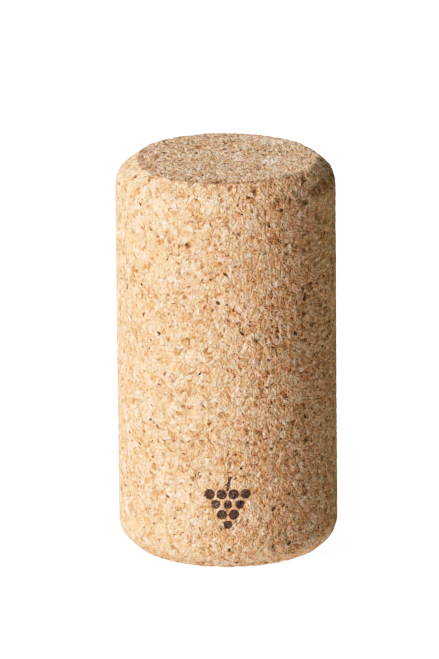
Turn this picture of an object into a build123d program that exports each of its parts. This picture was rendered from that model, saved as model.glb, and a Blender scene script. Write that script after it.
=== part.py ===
from build123d import *
import os

os.makedirs("parts", exist_ok=True)

# Driving dimensions, millimetres. The stopper stands on its lower end face,
# which is centred on the origin, and its axis is +Z.
cork_diameter = 24.3
cork_length = 44.0

top_chamfer_in = 2.1        # radial run of the upper end's chamfer
top_chamfer_down = 1.9      # axial run of the upper end's chamfer
bottom_chamfer_in = 1.75    # radial run of the lower end's chamfer
bottom_chamfer_up = 1.7     # axial run of the lower end's chamfer

shoulder_radius = 2.4       # soft turn from the ground wall into each chamfer
rim_radius = 0.7            # worn turn from each chamfer onto its end face

cork_radius = cork_diameter / 2

# One moulded and ground cylinder with a chamfered, softly rounded rim at each
# end, revolved from its half section.
with BuildPart() as cork:
    with BuildSketch(Plane.XZ) as half_section:
        with BuildLine() as outline:
            Polyline(
                (0, 0),
                (cork_radius - bottom_chamfer_in, 0),
                (cork_radius, bottom_chamfer_up),
                (cork_radius, cork_length - top_chamfer_down),
                (cork_radius - top_chamfer_in, cork_length),
                (0, cork_length),
                close=True,
            )
        make_face()
        corners = half_section.vertices()
        shoulders = corners.filter_by(lambda v: v.X > cork_radius - 0.01)
        rims = corners.filter_by(lambda v: 1.0 < v.X < cork_radius - 1.0)
        fillet(shoulders, radius=shoulder_radius)
        rims = half_section.vertices().filter_by(
            lambda v: any(abs(v.X - r.X) < 1e-4 and abs(v.Y - r.Y) < 1e-4 for r in rims)
        )
        fillet(rims, radius=rim_radius)
    revolve(axis=Axis.Z)

wall = cork.faces().filter_by(GeomType.CYLINDER).sort_by(SortBy.AREA)[-1]
wall_box = wall.bounding_box()
print("straight wall from z", round(wall_box.min.Z, 3), "to", round(wall_box.max.Z, 3))
ends = cork.faces().filter_by(GeomType.PLANE).sort_by(Axis.Z)
print("end face radii", [round((f.area / 3.14159265) ** 0.5, 3) for f in (ends[0], ends[-1])])
print("volume cm3", round(cork.part.volume / 1000, 3))

cork.part.label = "cork"
export_step(cork.part, "parts/cork.step")
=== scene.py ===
import bpy
import math
import numpy as np
from mathutils import Matrix, Vector


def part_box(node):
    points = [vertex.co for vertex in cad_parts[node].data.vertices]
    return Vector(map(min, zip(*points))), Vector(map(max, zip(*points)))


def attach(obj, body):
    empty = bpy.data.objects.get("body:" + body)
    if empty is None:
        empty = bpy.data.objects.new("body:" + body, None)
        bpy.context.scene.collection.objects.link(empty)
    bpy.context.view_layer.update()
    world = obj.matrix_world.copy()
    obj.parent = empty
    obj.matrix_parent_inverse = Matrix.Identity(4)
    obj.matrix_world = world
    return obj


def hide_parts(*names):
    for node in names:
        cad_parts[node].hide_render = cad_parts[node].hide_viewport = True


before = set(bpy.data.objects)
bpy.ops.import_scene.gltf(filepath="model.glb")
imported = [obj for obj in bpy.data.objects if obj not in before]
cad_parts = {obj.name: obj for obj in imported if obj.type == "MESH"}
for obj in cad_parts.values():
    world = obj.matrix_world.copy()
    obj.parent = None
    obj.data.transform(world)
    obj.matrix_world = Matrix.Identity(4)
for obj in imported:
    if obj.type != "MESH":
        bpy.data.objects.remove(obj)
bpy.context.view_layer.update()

MM = 0.001

# ---------------------------------------------------------------- sizes, mm
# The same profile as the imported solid, read from its box where it can be.
LOW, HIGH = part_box("cork")
R = (HIGH.x - LOW.x) / 2 / MM          # 12.15
L = (HIGH.z - LOW.z) / MM              # 44.0
TOP_IN, TOP_DOWN = 2.1, 1.9
BOTTOM_IN, BOTTOM_UP = 1.75, 1.7
SHOULDER_R, RIM_R = 2.4, 0.6


# ---------------------------------------------------------------- node helper
class Net:
    """Builds node trees in code. It works on shader trees and on geometry trees."""

    def __init__(self, tree):
        self.t, self.n = tree, 0

    def node(self, kind, **props):
        nd = self.t.nodes.new(kind)
        nd.location = (220 * (self.n % 24), -260 * (self.n // 24))
        self.n += 1
        for k, v in props.items():
            setattr(nd, k, v)
        return nd

    def put(self, socket, value):
        if value is None:
            return
        if isinstance(value, bpy.types.NodeSocket):
            self.t.links.new(value, socket)
        else:
            socket.default_value = value

    def m(self, op, a, b=None, c=None, clamp=False):
        nd = self.node("ShaderNodeMath", operation=op, use_clamp=clamp)
        for s, v in zip(nd.inputs, (a, b, c)):
            self.put(s, v)
        return nd.outputs[0]

    def add(self, a, b): return self.m("ADD", a, b)
    def sub(self, a, b): return self.m("SUBTRACT", a, b)
    def mul(self, a, b): return self.m("MULTIPLY", a, b)
    def mad(self, a, b, c): return self.m("MULTIPLY_ADD", a, b, c)
    def inv(self, a): return self.m("SUBTRACT", 1.0, a)

    def v(self, op, a, b=None, scale=None):
        nd = self.node("ShaderNodeVectorMath", operation=op)
        self.put(nd.inputs[0], a)
        if b is not None:
            self.put(nd.inputs[1], b)
        if scale is not None:
            self.put(nd.inputs["Scale"], scale)
        return nd.outputs["Value"] if op in ("LENGTH", "DOT_PRODUCT", "DISTANCE") else nd.outputs["Vector"]

    def turn(self, vec, angles):
        nd = self.node("ShaderNodeVectorRotate", rotation_type="EULER_XYZ")
        self.put(nd.inputs["Vector"], vec)
        self.put(nd.inputs["Rotation"], angles)
        return nd.outputs[0]

    def sep(self, vec):
        nd = self.node("ShaderNodeSeparateXYZ")
        self.put(nd.inputs[0], vec)
        return nd.outputs[0], nd.outputs[1], nd.outputs[2]

    def comb(self, x, y, z):
        nd = self.node("ShaderNodeCombineXYZ")
        for s, v in zip(nd.inputs, (x, y, z)):
            self.put(s, v)
        return nd.outputs[0]

    def noise(self, vec, scale, detail=2.0, rough=0.5, colour=False):
        nd = self.node("ShaderNodeTexNoise", noise_dimensions="3D")
        self.put(nd.inputs["Vector"], vec)
        nd.inputs["Scale"].default_value = scale
        nd.inputs["Detail"].default_value = detail
        nd.inputs["Roughness"].default_value = rough
        return nd.outputs["Color"] if colour else nd.outputs[0]

    def cells(self, vec, scale, randomness=1.0):
        """Distance from the cell's own point in mm, and its three random numbers."""
        nd = self.node("ShaderNodeTexVoronoi", voronoi_dimensions="3D", feature="F1")
        self.put(nd.inputs["Vector"], vec)
        nd.inputs["Scale"].default_value = scale
        nd.inputs["Randomness"].default_value = randomness
        r, g, b = self.sep(nd.outputs["Color"])
        return self.mul(nd.outputs["Distance"], 1.0 / scale), r, g, b

    def seeds(self, vec, scale):
        """The vector from the cell's own point in mm, and its random numbers."""
        nd = self.node("ShaderNodeTexVoronoi", voronoi_dimensions="3D", feature="F1")
        self.put(nd.inputs["Vector"], vec)
        nd.inputs["Scale"].default_value = scale
        nd.inputs["Randomness"].default_value = 1.0
        r, g, b = self.sep(nd.outputs["Color"])
        return self.v("SUBTRACT", vec, nd.outputs["Position"]), nd.outputs["Color"], r, g, b

    def edges(self, vec, scale, randomness=1.0):
        """Distance to the nearest wall between cells, in mm."""
        nd = self.node("ShaderNodeTexVoronoi", voronoi_dimensions="3D", feature="DISTANCE_TO_EDGE")
        self.put(nd.inputs["Vector"], vec)
        nd.inputs["Scale"].default_value = scale
        nd.inputs["Randomness"].default_value = randomness
        return self.mul(nd.outputs["Distance"], 1.0 / scale)

    def step(self, x, low, high):
        """0 below low and 1 above high, smooth between. low may be above high."""
        nd = self.node("ShaderNodeMapRange", interpolation_type="SMOOTHSTEP", clamp=True)
        flip = low > high
        self.put(nd.inputs["Value"], x)
        self.put(nd.inputs["From Min"], min(low, high))
        self.put(nd.inputs["From Max"], max(low, high))
        self.put(nd.inputs["To Min"], 1.0 if flip else 0.0)
        self.put(nd.inputs["To Max"], 0.0 if flip else 1.0)
        return nd.outputs[0]

    def mixf(self, f, a, b):
        """a where f is 0 and b where f is 1."""
        return self.add(a, self.mul(f, self.sub(b, a)))

    def mixc(self, f, a, b, mode="MIX"):
        nd = self.node("ShaderNodeMix", data_type="RGBA", blend_type=mode, clamp_factor=True)
        self.put(nd.inputs["Factor"], f)
        self.put(nd.inputs[6], a)
        self.put(nd.inputs[7], b)
        return nd.outputs[2]

    def ramp(self, x, stops):
        nd = self.node("ShaderNodeValToRGB")
        self.put(nd.inputs[0], x)
        e = nd.color_ramp.elements
        while len(e) > 1:
            e.remove(e[-1])
        e[0].position, e[0].color = stops[0][0], (*stops[0][1], 1.0)
        for pos, col in stops[1:]:
            s = e.new(pos)
            s.color = (*col, 1.0)
        return nd.outputs[0]


# ---------------------------------------------------------------- the granules
def warped(n, P):
    """The rest position pushed about, so that cells get the uneven outlines of cork chips."""
    w1 = n.v("SUBTRACT", n.noise(P, 0.85, 1.0, 0.5, colour=True), (0.5, 0.5, 0.5))
    w2 = n.v("SUBTRACT", n.noise(P, 2.6, 1.0, 0.5, colour=True), (0.5, 0.5, 0.5))
    return n.v("ADD", P, n.v("ADD", n.v("SCALE", w1, scale=0.85), n.v("SCALE", w2, scale=0.24)))


COARSE, MIDDLE, FINE = 0.62, 1.45, 3.0          # granules per mm, along a line
SHIFT2, SHIFT3 = (17.3, 5.1, 9.7), (4.4, 11.9, 2.2)


def coarse(n, Q):
    """Large granules. Only a few of them stay whole: a number of their own, 1 where whole, and another number."""
    d, a, b, g = n.cells(Q, COARSE)
    return a, n.m("GREATER_THAN", b, 0.86), g


def tilt(n, v, rnd, slope):
    """Height of a facet that leans its own way in each cell."""
    lean = n.v("SUBTRACT", rnd, (0.5, 0.5, 0.5))
    return n.mul(n.v("DOT_PRODUCT", v, lean), 2.0 * slope)


def chips(n, Q, scale, keep, shift, thick, wide, soft=0.5):
    """Thin flakes of bark and cell wall, lying every way: 1 where one crosses the surface. Also its random number."""
    S = n.v("ADD", Q, shift)
    v, col, r, g, b = n.seeds(S, scale)
    lean = n.v("NORMALIZE", n.v("SUBTRACT", n.v("FRACTION", n.v("MULTIPLY", col, (7.13, 5.37, 9.71))), (0.5, 0.5, 0.5)))
    along = n.v("DOT_PRODUCT", v, lean)
    across = n.m("SQRT", n.m("MAXIMUM", n.sub(n.v("DOT_PRODUCT", v, v), n.mul(along, along)), 0.0))
    size = n.mad(g, 0.8, 0.5)
    a = n.m("DIVIDE", n.m("ABSOLUTE", along), n.mul(size, thick))
    c = n.m("DIVIDE", across, n.mul(size, wide))
    d = n.m("SQRT", n.add(n.mul(a, a), n.mul(c, c)))
    return n.mul(n.step(d, 1.0 + soft * 0.5, 1.0 - soft * 0.5), n.m("LESS_THAN", r, keep)), b


def pits(n, Q):
    """Small open voids between granules: 1 inside, 0 outside."""
    p1, _ = chips(n, Q, 0.95, 0.42, (3.1, 8.4, 1.7), 0.12, 0.38, 0.6)
    return p1


def relief_geometry(n, P, Q, cut):
    """Height in mm, never above 0, of what the mesh itself carries: ground level is 0, and many granules reach it."""
    a1, whole1, g1 = coarse(n, Q)
    e1 = n.edges(Q, COARSE)
    Q2 = n.v("ADD", Q, SHIFT2)
    v2, col2, r2, g2, b2 = n.seeds(Q2, MIDDLE)
    e2 = n.edges(Q2, MIDDLE)
    h = n.mul(n.sub(n.noise(P, 0.16, 1.0), 0.5), 0.05)
    h = n.add(h, n.mul(n.mul(n.sub(g1, 0.5), 0.040), n.step(e1, 0.0, 0.2)))
    h = n.add(h, n.mul(n.sub(n.step(e1, 0.0, 0.26), 0.8), 0.030))
    h = n.add(h, n.mul(n.add(tilt(n, v2, col2, 0.48), n.mul(n.sub(g2, 0.5), 0.100)), n.step(e2, 0.0, 0.16)))
    h = n.add(h, n.mul(n.sub(n.step(e2, 0.0, 0.20), 0.7), 0.070))
    h = n.add(h, n.mul(n.sub(n.noise(P, 1.9, 1.5, 0.6), 0.5), 0.34))
    h = n.mul(h, n.mad(cut, 0.5, 1.0))
    h = n.sub(h, n.mul(pits(n, Q), 0.22))
    # the grinding that sized the cork cut the highest points off softly
    return n.m("MINIMUM", n.m("SMOOTH_MIN", n.add(h, 0.025), 0.0, 0.13), 0.0)


# ---------------------------------------------------------------- the mesh
def arc_corner(p0, c, p1, r, steps=10):
    """The points of a fillet of radius r at corner c, between the directions to p0 and p1."""
    a = (p0 - c) / np.linalg.norm(p0 - c)
    b = (p1 - c) / np.linalg.norm(p1 - c)
    half = math.acos(float(np.clip(a @ b, -1, 1))) / 2
    t = r / math.tan(half)
    mid = (a + b) / np.linalg.norm(a + b)
    centre = c + mid * (r / math.sin(half))
    s, e = c + a * t, c + b * t
    a0 = math.atan2(*(s - centre)[::-1])
    a1 = math.atan2(*(e - centre)[::-1])
    da = (a1 - a0 + math.pi) % (2 * math.pi) - math.pi
    return [centre + r * np.array([math.cos(a0 + da * k / steps), math.sin(a0 + da * k / steps)]) for k in range(steps + 1)]


def cork_mesh(K=92, rows=219):
    N = 4 * K
    rb, rt = R - BOTTOM_IN - 0.5, R - TOP_IN - 0.45
    pts = [np.array(p, float) for p in (
        (rb, 0), (R - BOTTOM_IN, 0), (R, BOTTOM_UP), (R, L - TOP_DOWN), (R - TOP_IN, L), (rt, L))]
    line = [pts[0]]
    for i, r in zip(range(1, 5), (RIM_R, SHOULDER_R, SHOULDER_R, RIM_R)):
        line += arc_corner(pts[i - 1], pts[i], pts[i + 1], r, 24)
    line.append(pts[5])
    line = np.array(line)
    seg = np.linalg.norm(np.diff(line, axis=0), axis=1)
    s = np.concatenate([[0], np.cumsum(seg)])
    at = np.linspace(0, s[-1], rows + 1)
    pr, pz = np.interp(at, s, line[:, 0]), np.interp(at, s, line[:, 1])
    tr = np.gradient(pr, at); tz = np.gradient(pz, at)
    nr, nz = tz, -tr
    ang = -math.pi / 2 + 2 * math.pi * (np.arange(N) + 0.5) / N   # starts at the viewer's side
    seam = math.pi / 2                                             # the map's seam is at the back
    ang = ang + (seam + math.pi / 2)
    # the points stand a little off the grid's lines, so that the relief doesn't follow them
    slide, spin = np.random.default_rng(463).uniform(-0.06, 0.06, (2, rows + 1, N))
    slide[[0, -1]] = spin[[0, -1]] = 0
    along, turned = at[:, None] + slide, ang[None, :] + spin / R
    ca, sa = np.cos(turned), np.sin(turned)
    br = np.interp(along, s, line[:, 0])
    bn = np.interp(along, at, nr)
    band = np.stack([br * ca, br * sa, np.interp(along, s, line[:, 1])], -1).reshape(-1, 3)
    bandn = np.stack([bn * ca, bn * sa, np.interp(along, at, nz)], -1).reshape(-1, 3)

    # each end: a square grid laid onto the disc, its border on the band's ring
    k = (np.arange(K + 1) / K) * 2 - 1
    gx, gy = np.meshgrid(k, k, indexing="ij")
    rad = np.maximum(abs(gx), abs(gy))
    with np.errstate(divide="ignore", invalid="ignore"):
        th = np.where(abs(gx) >= abs(gy), np.where(gx >= 0, (math.pi / 4) * gy / gx, math.pi + (math.pi / 4) * gy / gx),
                      np.where(gy >= 0, math.pi / 2 - (math.pi / 4) * gx / gy, 3 * math.pi / 2 - (math.pi / 4) * gx / gy))
    th = np.nan_to_num(th)
    off = ang[0] + math.pi / 4                                     # the grid's corner meets the ring's first point
    verts, norms, uvs, faces, fuv = [band], [bandn], [], [], []
    count = len(band)
    SIDE_W = 1.0
    mm_uv = SIDE_W / (2 * math.pi * R)                             # one scale for the whole map
    side_h = at[-1] * mm_uv
    # band faces
    j, i = np.meshgrid(np.arange(rows), np.arange(N), indexing="ij")
    i2 = (i + 1) % N
    quads = np.stack([j * N + i, j * N + i2, (j + 1) * N + i2, (j + 1) * N + i], -1).reshape(-1, 4)
    u0, u1 = i / N, (i + 1) / N
    v0, v1 = at[j] * mm_uv, at[j + 1] * mm_uv
    quv = np.stack([np.stack([u0, v0], -1), np.stack([u1, v0], -1), np.stack([u1, v1], -1), np.stack([u0, v1], -1)], 2).reshape(-1, 4, 2)
    faces.append(quads); fuv.append(quv)

    def end(z, rd, ring_row, up, centre_uv):
        nonlocal count
        ids = np.full((K + 1, K + 1), -1)
        inner = (rad < 1 - 1e-9)
        ids[inner] = count + np.arange(inner.sum())
        x = rd * rad * np.cos(th + off); y = rd * rad * np.sin(th + off)
        verts.append(np.stack([x[inner], y[inner], np.full(inner.sum(), z)], -1))
        norms.append(np.tile([0, 0, 1.0 if up else -1.0], (int(inner.sum()), 1)))
        count += int(inner.sum())
        border = ~inner
        # ring index of a border point from its angle
        idx = np.rint(((th[border] + off - ang[0]) % (2 * math.pi)) / (2 * math.pi) * N).astype(int) % N
        ids[border] = ring_row * N + idx
        a, b = np.meshgrid(np.arange(K), np.arange(K), indexing="ij")
        q = np.stack([ids[a, b], ids[a + 1, b], ids[a + 1, b + 1], ids[a, b + 1]], -1).reshape(-1, 4)
        cx, cy = centre_uv
        sgn = 1.0 if up else -1.0
        U = cx + x * mm_uv * sgn; V = cy + y * mm_uv
        w = np.stack([np.stack([U[a + p, b + r], V[a + p, b + r]], -1) for p, r in ((0, 0), (1, 0), (1, 1), (0, 1))], 2).reshape(-1, 4, 2)
        if not up:
            q, w = q[:, ::-1], w[:, ::-1]
        faces.append(q); fuv.append(w)

    pad = 0.006
    top_v = side_h + pad + rt * mm_uv
    end(0.0, rb, 0, False, (0.27, top_v + (rb - rt) * mm_uv))
    end(L, rt, rows, True, (0.73, top_v))
    V = np.concatenate(verts); Nn = np.concatenate(norms)
    Fq = np.concatenate(faces); UV = np.concatenate(fuv)
    # the upper rim is worn in on the viewer's left and fuller on the right, and the lower flat isn't quite centred
    rr_ = np.hypot(V[:, 0], V[:, 1])
    az = np.degrees(np.arctan2(V[:, 0], -V[:, 1]))

    def about(at, wide):
        return np.exp(-(((az - at + 180) % 360 - 180) / wide) ** 2)

    t = np.clip((V[:, 2] - (L - TOP_DOWN)) / TOP_DOWN, 0, 1)
    edge = np.clip(rr_ / rt, 0, 1) ** 3
    k = t * t * (3 - 2 * t) * edge
    worn = 0.04 * np.sin(np.radians(az * 3 + 40)) + 0.03 * np.sin(np.radians(az * 7 + 10)) + 0.03 * np.sin(np.radians(az * 13 + 80))
    worn += 0.50 * about(-86, 28) * k - 0.10 * about(80, 38) - 0.20 * about(-142, 26)
    full = (0.13 * about(88, 34) + 0.16 * about(-98, 34)) * 4 * t * (1 - t) * edge
    f = 1 - (k * worn - full) / np.maximum(rr_, 1e-6)
    V[:, 0] *= f; V[:, 1] *= f
    k = np.clip((2.4 - V[:, 2]) / 2.4, 0, 1)
    k = k * k * (3 - 2 * k)
    V[:, :2] *= (1 + 0.006 * k)[:, None]
    V[:, 0] += 0.14 * k
    me = bpy.data.meshes.new("cork_body")
    me.vertices.add(len(V)); me.vertices.foreach_set("co", (V * MM).astype(np.float32).ravel())
    me.loops.add(Fq.size); me.loops.foreach_set("vertex_index", Fq.astype(np.int32).ravel())
    me.polygons.add(len(Fq)); me.polygons.foreach_set("loop_start", (np.arange(len(Fq)) * 4).astype(np.int32))
    me.update(calc_edges=True)
    uv = me.uv_layers.new(name="OFBake")
    uv.uv.foreach_set("vector", UV.astype(np.float32).ravel())
    for name, data in (("rest", V), ("out", Nn)):
        at_ = me.attributes.new(name, "FLOAT_VECTOR", "POINT")
        at_.data.foreach_set("vector", data.astype(np.float32).ravel())
    # the two flat ends are sawn, so they are rougher than the ground side: 1 there, 0 on the side and the chamfers
    cut = np.clip((abs(Nn[:, 2]) - 0.86) / 0.12, 0, 1)
    at_ = me.attributes.new("cut", "FLOAT", "POINT")
    at_.data.foreach_set("value", cut.astype(np.float32))
    me.validate()
    return me


def carve(ob):
    """Carries the relief in the mesh: moves each point along its own outward direction, then applies it."""
    tree = bpy.data.node_groups.new("relief", "GeometryNodeTree")
    tree.interface.new_socket("Geometry", in_out="INPUT", socket_type="NodeSocketGeometry")
    tree.interface.new_socket("Geometry", in_out="OUTPUT", socket_type="NodeSocketGeometry")
    n = Net(tree)
    gin, gout = n.node("NodeGroupInput"), n.node("NodeGroupOutput")
    P = n.node("GeometryNodeInputNamedAttribute", data_type="FLOAT_VECTOR"); P.inputs["Name"].default_value = "rest"
    O = n.node("GeometryNodeInputNamedAttribute", data_type="FLOAT_VECTOR"); O.inputs["Name"].default_value = "out"
    C = n.node("GeometryNodeInputNamedAttribute", data_type="FLOAT"); C.inputs["Name"].default_value = "cut"
    Q = warped(n, P.outputs["Attribute"])
    h = relief_geometry(n, P.outputs["Attribute"], Q, C.outputs["Attribute"])
    keep = n.node("GeometryNodeStoreNamedAttribute", data_type="FLOAT_VECTOR", domain="POINT")
    n.put(keep.inputs["Geometry"], gin.outputs[0])
    keep.inputs["Name"].default_value = "warped"
    n.put(keep.inputs["Value"], Q)
    sp = n.node("GeometryNodeSetPosition")
    n.put(sp.inputs["Geometry"], keep.outputs[0])
    n.put(sp.inputs["Offset"], n.v("SCALE", O.outputs["Attribute"], scale=n.mul(h, MM)))
    n.put(gout.inputs[0], sp.outputs[0])
    md = ob.modifiers.new("relief", "NODES"); md.node_group = tree
    dg = bpy.context.evaluated_depsgraph_get()
    made = bpy.data.meshes.new_from_object(ob.evaluated_get(dg), preserve_all_data_layers=True, depsgraph=dg)
    ob.modifiers.clear()
    old = ob.data
    ob.data = made
    bpy.data.meshes.remove(old)
    made.name = "cork_body"
    bpy.data.node_groups.remove(tree)


cork = bpy.data.objects.new("cork_body", cork_mesh())
bpy.context.scene.collection.objects.link(cork)
carve(cork)
# what is carved stays inside the solid's box, and the foot stays on the floor
co = np.zeros(len(cork.data.vertices) * 3, np.float32)
cork.data.vertices.foreach_get("co", co)
co = co.reshape(-1, 3)
co[:, 2] -= co[:, 2].min()
cork.data.vertices.foreach_set("co", co.ravel())
cork.data.polygons.foreach_set("use_smooth", np.ones(len(cork.data.polygons), bool))
cork.data.update()


# ---------------------------------------------------------------- the finish
def stamp(n, P):
    """A small plain bunch of round dots with a short stem, inked low on the viewer's side: 1 where there is ink."""
    waver = n.v("SCALE", n.v("SUBTRACT", n.noise(P, 3.4, 1.0, 0.6, colour=True), (0.5, 0.5, 0.5)), scale=0.20)
    x, y, z = n.sep(n.v("ADD", P, waver))
    flat = n.comb(x, 0.0, z)
    near = None
    for row, count in enumerate((4, 3, 2, 1)):
        for k in range(count):
            size = (0.04, -0.03, 0.02, -0.05)[(row + 2 * k) % 4]
            spot = (-0.05 + (k - (count - 1) / 2) * 1.32, 0.0, 9.05 - row * 1.17)
            d = n.sub(n.v("DISTANCE", flat, spot), 0.57 + size)
            near = d if near is None else n.m("MINIMUM", near, d)
    stem = n.sub(n.m("ABSOLUTE", n.sub(x, n.mad(n.sub(z, 9.6), 0.22, -0.05))), 0.19)
    stem = n.m("MAXIMUM", stem, n.m("MAXIMUM", n.sub(9.40, z), n.sub(z, 11.1)))
    near = n.m("MINIMUM", near, stem)
    ink = n.mul(n.step(near, 0.04, -0.04), n.m("LESS_THAN", y, 0.0))
    # the ink misses some of the grain
    patchy = n.step(n.noise(P, 4.6, 2.0, 0.6), 0.32, 0.46)
    return n.mul(ink, n.mad(patchy, 0.22, 0.77))


def cork_material():
    mat = bpy.data.materials.new("agglomerated_cork")
    mat.use_nodes = True
    tree = mat.node_tree
    tree.nodes.clear()
    n = Net(tree)
    P = n.node("ShaderNodeAttribute", attribute_name="rest").outputs["Vector"]
    Q = n.node("ShaderNodeAttribute", attribute_name="warped").outputs["Vector"]
    cut = n.node("ShaderNodeAttribute", attribute_name="cut").outputs["Fac"]
    # the granules' outlines waver at a scale that the mesh is too coarse for
    quick = n.v("SUBTRACT", n.noise(P, 4.2, 1.0, 0.6, colour=True), (0.5, 0.5, 0.5))
    c1, c2, c3 = n.sep(quick)
    Q = n.v("ADD", Q, n.v("SCALE", quick, scale=0.26))
    a1, whole1, g1 = coarse(n, Q)
    e1 = n.edges(Q, COARSE)
    Q2 = n.v("ADD", Q, SHIFT2)
    v2, col2, r2, g2, b2 = n.seeds(Q2, MIDDLE)
    e2 = n.edges(Q2, MIDDLE)
    whole2 = n.m("GREATER_THAN", b2, 0.80)
    # crumbs within a granule: longer one way, and turned with the granule that they belong to
    V = n.v("MULTIPLY", n.turn(v2, n.v("SCALE", col2, scale=6.2832)), (1.0, 1.0, 0.8))
    V = n.v("ADD", V, n.v("SCALE", col2, scale=37.0))
    V = n.v("ADD", V, n.v("SCALE", n.v("SUBTRACT", n.noise(P, 3.2, 0.0, 0.5, colour=True), (0.5, 0.5, 0.5)), scale=0.15))
    V = n.v("SCALE", V, scale=n.mad(cut, 0.55, 1.0))
    v3, col3, r3, g3, b3 = n.seeds(V, FINE)
    e3 = n.edges(V, FINE)

    fine = n.noise(P, 6.5, 2.0, 0.7)
    slow = n.noise(P, 0.42, 2.0, 0.55)
    whole = n.m("MAXIMUM", whole1, whole2)
    broken = n.inv(n.mul(whole, 0.72))
    own = n.mixf(whole1, n.mad(n.sub(r2, 0.5), 0.66, 0.5), n.mad(n.sub(a1, 0.5), 0.5, 0.6))
    tone = n.add(own, n.mul(n.mul(n.sub(r3, 0.5), 0.48), broken))
    tone = n.add(tone, n.mul(n.sub(fine, 0.5), 0.30))
    wide = n.add(n.mul(n.sub(slow, 0.5), 0.45), n.mul(n.sub(n.noise(P, 1.15, 1.0), 0.5), 0.55))
    tone = n.add(tone, n.mul(wide, n.mad(cut, -0.5, 1.0)))
    tone = n.add(tone, n.mul(n.sub(n.noise(P, 2.6, 0.0), 0.5), 0.70))
    colour = n.ramp(tone, (
        (0.00, (0.370, 0.170, 0.062)),
        (0.12, (0.525, 0.270, 0.112)),
        (0.28, (0.648, 0.375, 0.190)),
        (0.50, (0.715, 0.438, 0.246)),
        (0.72, (0.772, 0.502, 0.312)),
        (0.88, (0.825, 0.575, 0.395)),
        (1.00, (0.870, 0.650, 0.505)),
    ))
    # each granule has its own hue too, a little pinker or yellower than its neighbours
    t1, t2, t3 = n.sep(n.v("SUBTRACT", n.noise(n.v("ADD", P, (9.0, 2.0, 5.0)), 1.5, 1.0, 0.6, colour=True), (0.5, 0.5, 0.5)))
    s1, s2, s3 = n.sep(n.v("SUBTRACT", n.noise(n.v("ADD", P, (2.0, 6.0, 3.0)), 0.62, 1.0, 0.5, colour=True), (0.5, 0.5, 0.5)))
    grey = n.add(n.add(n.mul(n.sub(g2, 0.5), 0.170), n.mul(t1, 0.38)), n.mul(s1, 0.24))
    pale = n.add(n.mul(n.sub(b3, 0.5), 0.160), n.mul(c1, 0.34))
    gold = n.add(n.mad(n.sub(n.m("FRACT", n.mul(r2, 7.31)), 0.5), 0.100, 1.0), n.mul(n.sub(g3, 0.5), 0.090))
    gold = n.add(gold, n.add(n.mul(t2, 0.28), n.add(n.mul(grey, 1.5), n.mul(pale, 0.8))))
    both = n.add(grey, pale)
    colour = n.v("MULTIPLY", colour, n.comb(n.mad(both, -0.35, 1.0), n.add(both, 1.0), n.mul(gold, 1.05)))
    # flakes: pale, orange-brown, brown, red-brown dots and near-black bark
    D, rd = chips(n, Q, 1.45, 0.50, (8.8, 2.9, 37.1), 0.085, 0.28)
    A, ra = chips(n, Q, 1.75, 0.85, (41.0, 3.3, 7.7), 0.060, 0.27)
    B, rb = chips(n, Q, 2.40, 0.46, (5.5, 23.0, 14.1), 0.050, 0.17)
    E, re_ = chips(n, P, 1.70, 0.36, (19.4, 7.2, 28.8), 0.130, 0.20)
    C, rc = chips(n, Q, 1.20, 0.46, (12.7, 30.2, 3.9), 0.120, 0.235, 0.4)
    colour = n.mixc(n.mul(D, 0.48), colour, (0.820, 0.675, 0.515, 1))
    colour = n.mixc(n.mul(A, n.mad(ra, 0.55, 0.30)), colour, (0.52, 0.230, 0.078, 1))
    colour = n.mixc(n.mul(B, n.mad(rb, 0.6, 0.30)), colour, (0.25, 0.122, 0.054, 1))
    colour = n.mixc(n.mul(E, n.mad(re_, 0.6, 0.25)), colour, (0.30, 0.108, 0.040, 1))
    # both flat ends are painted a little greyer and cooler: painted light, standing in for cool light that falls on
    # them from above and behind
    colour = n.v("MULTIPLY", colour, n.comb(n.mad(cut, -0.11, 1.0), n.mad(cut, -0.035, 1.0), n.mad(cut, 0.05, 1.0)))
    # joints: a little binder shows here and there, and the joints and creases are darkened with painted shade in the
    # crevices; a few open as cracks painted near-black with shade
    here = n.step(n.noise(P, 1.2, 2.0, 0.6), 0.47, 0.62)
    rare = n.step(n.noise(n.v("ADD", P, (31.0, 7.0, 3.0)), 1.4, 2.0, 0.6), 0.59, 0.65)
    joint_and_crevice_shade = n.m("MAXIMUM", n.mul(n.step(e2, 0.085, 0.01), n.mul(here, 0.7)), n.mul(n.step(e3, 0.075, 0.01), n.mul(broken, 0.4)))
    joint_and_crevice_shade = n.m("MAXIMUM", joint_and_crevice_shade, n.mul(n.step(e1, 0.085, 0.02), n.inv(here)))
    # creases that wander between the crumbs, darkened with painted shade along their floors
    w1 = n.m("ABSOLUTE", n.sub(n.noise(n.v("ADD", P, (3.0, 8.0, 1.0)), 2.0, 1.0, 0.5), 0.5))
    w2 = n.m("ABSOLUTE", n.sub(n.noise(n.v("ADD", P, (13.0, 2.0, 7.0)), 3.2, 1.0, 0.5), 0.5))
    joint_and_crevice_shade = n.m("MAXIMUM", joint_and_crevice_shade, n.mul(n.step(w1, 0.030, 0.0), 0.35))
    crack_groove_and_shade = n.mul(n.mul(n.step(e2, 0.080, 0.035), rare), n.step(c2, -0.04, 0.06))
    # binder colour in the joints, and painted shade in the crevices and creases
    colour = n.mixc(n.mul(joint_and_crevice_shade, 0.50), colour, (0.33, 0.165, 0.070, 1))
    # painted shade: the open cracks are painted near-black inside
    colour = n.mixc(n.mul(crack_groove_and_shade, 0.88), colour, (0.070, 0.036, 0.020, 1))
    colour = n.mixc(n.mul(C, n.mad(rc, 0.30, 0.68)), colour, n.mixc(n.step(rc, 0.2, 0.6), (0.16, 0.050, 0.022, 1), (0.020, 0.011, 0.008, 1)))
    # painted shade: the pits are darkened inside, where shade falls in the hollows
    pit_shade = pits(n, Q)
    colour = n.mixc(n.mul(pit_shade, 0.60), colour, (0.15, 0.068, 0.032, 1))
    colour = n.mixc(n.mul(stamp(n, P), 0.98), colour, (0.017, 0.011, 0.011, 1))

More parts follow.
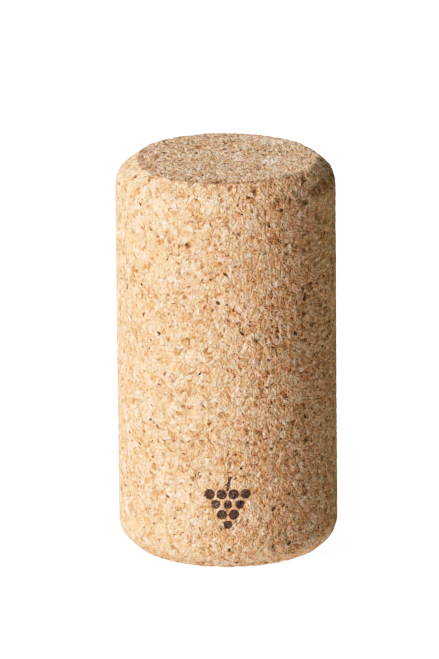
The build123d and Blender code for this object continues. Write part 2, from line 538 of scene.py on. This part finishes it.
    # fine relief, mm, that the mesh is too coarse to hold
    h = n.mul(n.sub(n.noise(P, 3.0, 1.0, 0.5), 0.5), 0.08)
    lean3 = n.mul(n.add(tilt(n, v3, col3, 0.35), n.mul(n.sub(g3, 0.5), 0.070)), n.step(e3, 0.0, 0.10))
    h = n.add(h, n.mul(n.add(lean3, n.mul(n.v("DOT_PRODUCT", v3, v3), -1.6)), broken))
    h = n.add(h, n.mul(n.step(e2, 0.0, 0.10), 0.050))
    h = n.add(h, n.mul(n.step(e1, 0.0, 0.09), 0.024))
    h = n.sub(h, n.mul(crack_groove_and_shade, 0.05))
    h = n.add(h, n.mul(w1, 0.45))
    h = n.add(h, n.mul(w2, 0.18))
    h = n.mul(h, n.mad(cut, 0.62, 0.80))
    bump = n.node("ShaderNodeBump")
    bump.inputs["Strength"].default_value = 1.0
    bump.inputs["Distance"].default_value = MM
    n.put(bump.inputs["Height"], h)

    bsdf = n.node("ShaderNodeBsdfPrincipled")
    n.put(bsdf.inputs["Base Color"], colour)
    n.put(bsdf.inputs["Normal"], bump.outputs[0])
    n.put(bsdf.inputs["Roughness"], n.mad(fine, 0.18, 0.74))
    bsdf.inputs["Specular IOR Level"].default_value = 0.10
    out = n.node("ShaderNodeOutputMaterial")
    n.put(out.inputs["Surface"], bsdf.outputs[0])
    return mat


cork.data.materials.clear()
cork.data.materials.append(cork_material())
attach(cork, "root")
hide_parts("cork")


# ---------------------------------------------------------------- the stage
def direction(az, el):
    """Towards the viewer at azimuth 0, and to the right of the picture at azimuth 90."""
    a, e = math.radians(az), math.radians(el)
    return Vector((math.sin(a) * math.cos(e), -math.cos(a) * math.cos(e), math.sin(e)))


def softbox(name, az, el, dist, wide, high, power, colour):
    data = bpy.data.lights.new(name, "AREA")
    data.shape, data.size, data.size_y = "RECTANGLE", wide, high
    data.energy, data.color = power, colour
    ob = bpy.data.objects.new(name, data)
    bpy.context.scene.collection.objects.link(ob)
    d = direction(az, el)
    ob.location = Vector((0, 0, L * MM / 2)) + d * dist
    ob.rotation_mode = "QUATERNION"
    ob.rotation_quaternion = d.to_track_quat("Z", "Y")
    return ob


# one soft key from the left, and wide light from below in place of what a white table throws back
softbox("key", -58, 26, 0.60, 0.39, 0.39, 16.0, (1.0, 0.77, 0.64))
softbox("table_light", 0, -80, 0.60, 1.30, 1.30, 7.2, (1.0, 0.91, 0.79))
softbox("table_light_left", -60, -50, 0.60, 1.30, 1.30, 13.4, (1.0, 0.75, 0.675))
softbox("table_light_right", 90, -25, 0.60, 1.30, 1.30, 2.3, (1.0, 0.79, 0.36))
softbox("side_left", -125, 10, 0.60, 0.39, 0.39, 0.6, (0.40, 0.50, 1.0))
softbox("back_left", -150, 45, 0.60, 0.39, 0.39, 3.9, (0.78, 0.95, 1.0))
softbox("rear", -168, 20, 0.70, 0.40, 0.40, 2.4, (1.0, 0.78, 0.58))

# floor: a plain white table
size = 6.0
floor_me = bpy.data.meshes.new("floor")
floor_me.from_pydata([(-size, -size, 0), (size, -size, 0), (size, size, 0), (-size, size, 0)], [], [(0, 1, 2, 3)])
floor = bpy.data.objects.new("floor", floor_me)
bpy.context.scene.collection.objects.link(floor)
floor.location.z = -0.00002
fm = bpy.data.materials.new("white_table")
fm.use_nodes = True
fb = fm.node_tree.nodes["Principled BSDF"]
fb.inputs["Base Color"].default_value = (0.9, 0.9, 0.9, 1)
fb.inputs["Roughness"].default_value = 0.9
fb.inputs["Emission Color"].default_value = (1, 1, 1, 1)
fb.inputs["Emission Strength"].default_value = 3.0
floor_me.materials.append(fm)
floor.visible_diffuse = False
floor.visible_glossy = False
floor.visible_shadow = False

world = bpy.data.worlds.new("white")
bpy.context.scene.world = world
world.use_nodes = True
world.node_tree.nodes["Background"].inputs["Color"].default_value = (1, 1, 1, 1)
world.node_tree.nodes["Background"].inputs["Strength"].default_value = 5.0
world.cycles_visibility.diffuse = False
world.cycles_visibility.glossy = False
world.cycles_visibility.transmission = False
world.cycles_visibility.scatter = False

# ---------------------------------------------------------------- the camera
W, H = 439, 659
SCALE, DIST, ELEV, ROLL = 9.057, 1000.0, 17.05, -0.5     # px per mm at the object's centre, mm, degrees, degrees
X0, Y0 = 226.84, 348.83                                    # where the object's centre shows, px
cam = bpy.data.cameras.new("camera")
cam.sensor_fit, cam.sensor_width = "AUTO", 36.0
cam.lens = SCALE * DIST * 36.0 / H
cam.clip_start, cam.clip_end = 0.05, 30.0
camera = bpy.data.objects.new("camera", cam)
bpy.context.scene.collection.objects.link(camera)
back = direction(0, ELEV)
right = Vector((1, 0, 0))
up = back.cross(right)
rr = math.radians(ROLL)
# the picture's centre, seen in the object's own right and up, mm
dx, dy = (W / 2 - X0) / SCALE, -(H / 2 - Y0) / SCALE
mx, my = dx * math.cos(rr) - dy * math.sin(rr), dx * math.sin(rr) + dy * math.cos(rr)
target = Vector((0, 0, L / 2 * MM)) + (right * mx + up * my) * MM
camera.location = Vector((0, 0, L / 2 * MM)) + (right * mx + up * my) * MM + back * DIST * MM
camera.matrix_world = Matrix.Translation(camera.location) @ Matrix((right, up, back)).transposed().to_4x4() @ Matrix.Rotation(rr, 4, "Z")
bpy.context.scene.camera = camera

# ---------------------------------------------------------------- the film
view = bpy.context.scene.view_settings
view.view_transform = "Standard"
view.look = "None"
view.exposure, view.gamma = 0.0, 1.0
view.use_curve_mapping = True
cm = view.curve_mapping
WHITE = 3.5
cm.white_level = (WHITE, WHITE, WHITE)
cm.black_level = (0, 0, 0)
curve = cm.curves[3]
film = [(x, 1 - math.exp(-x)) for x in (0.0, 0.06, 0.14, 0.25, 0.40, 0.60, 0.85, 1.15, 1.5, 1.9, 2.3)] + [(2.8, 0.965), (3.5, 1.0)]
curve.points[0].location = (0, 0)
curve.points[-1].location = (1, 1)
for x, y in film[1:-1]:
    curve.points.new(x / WHITE, y)
cm.update()
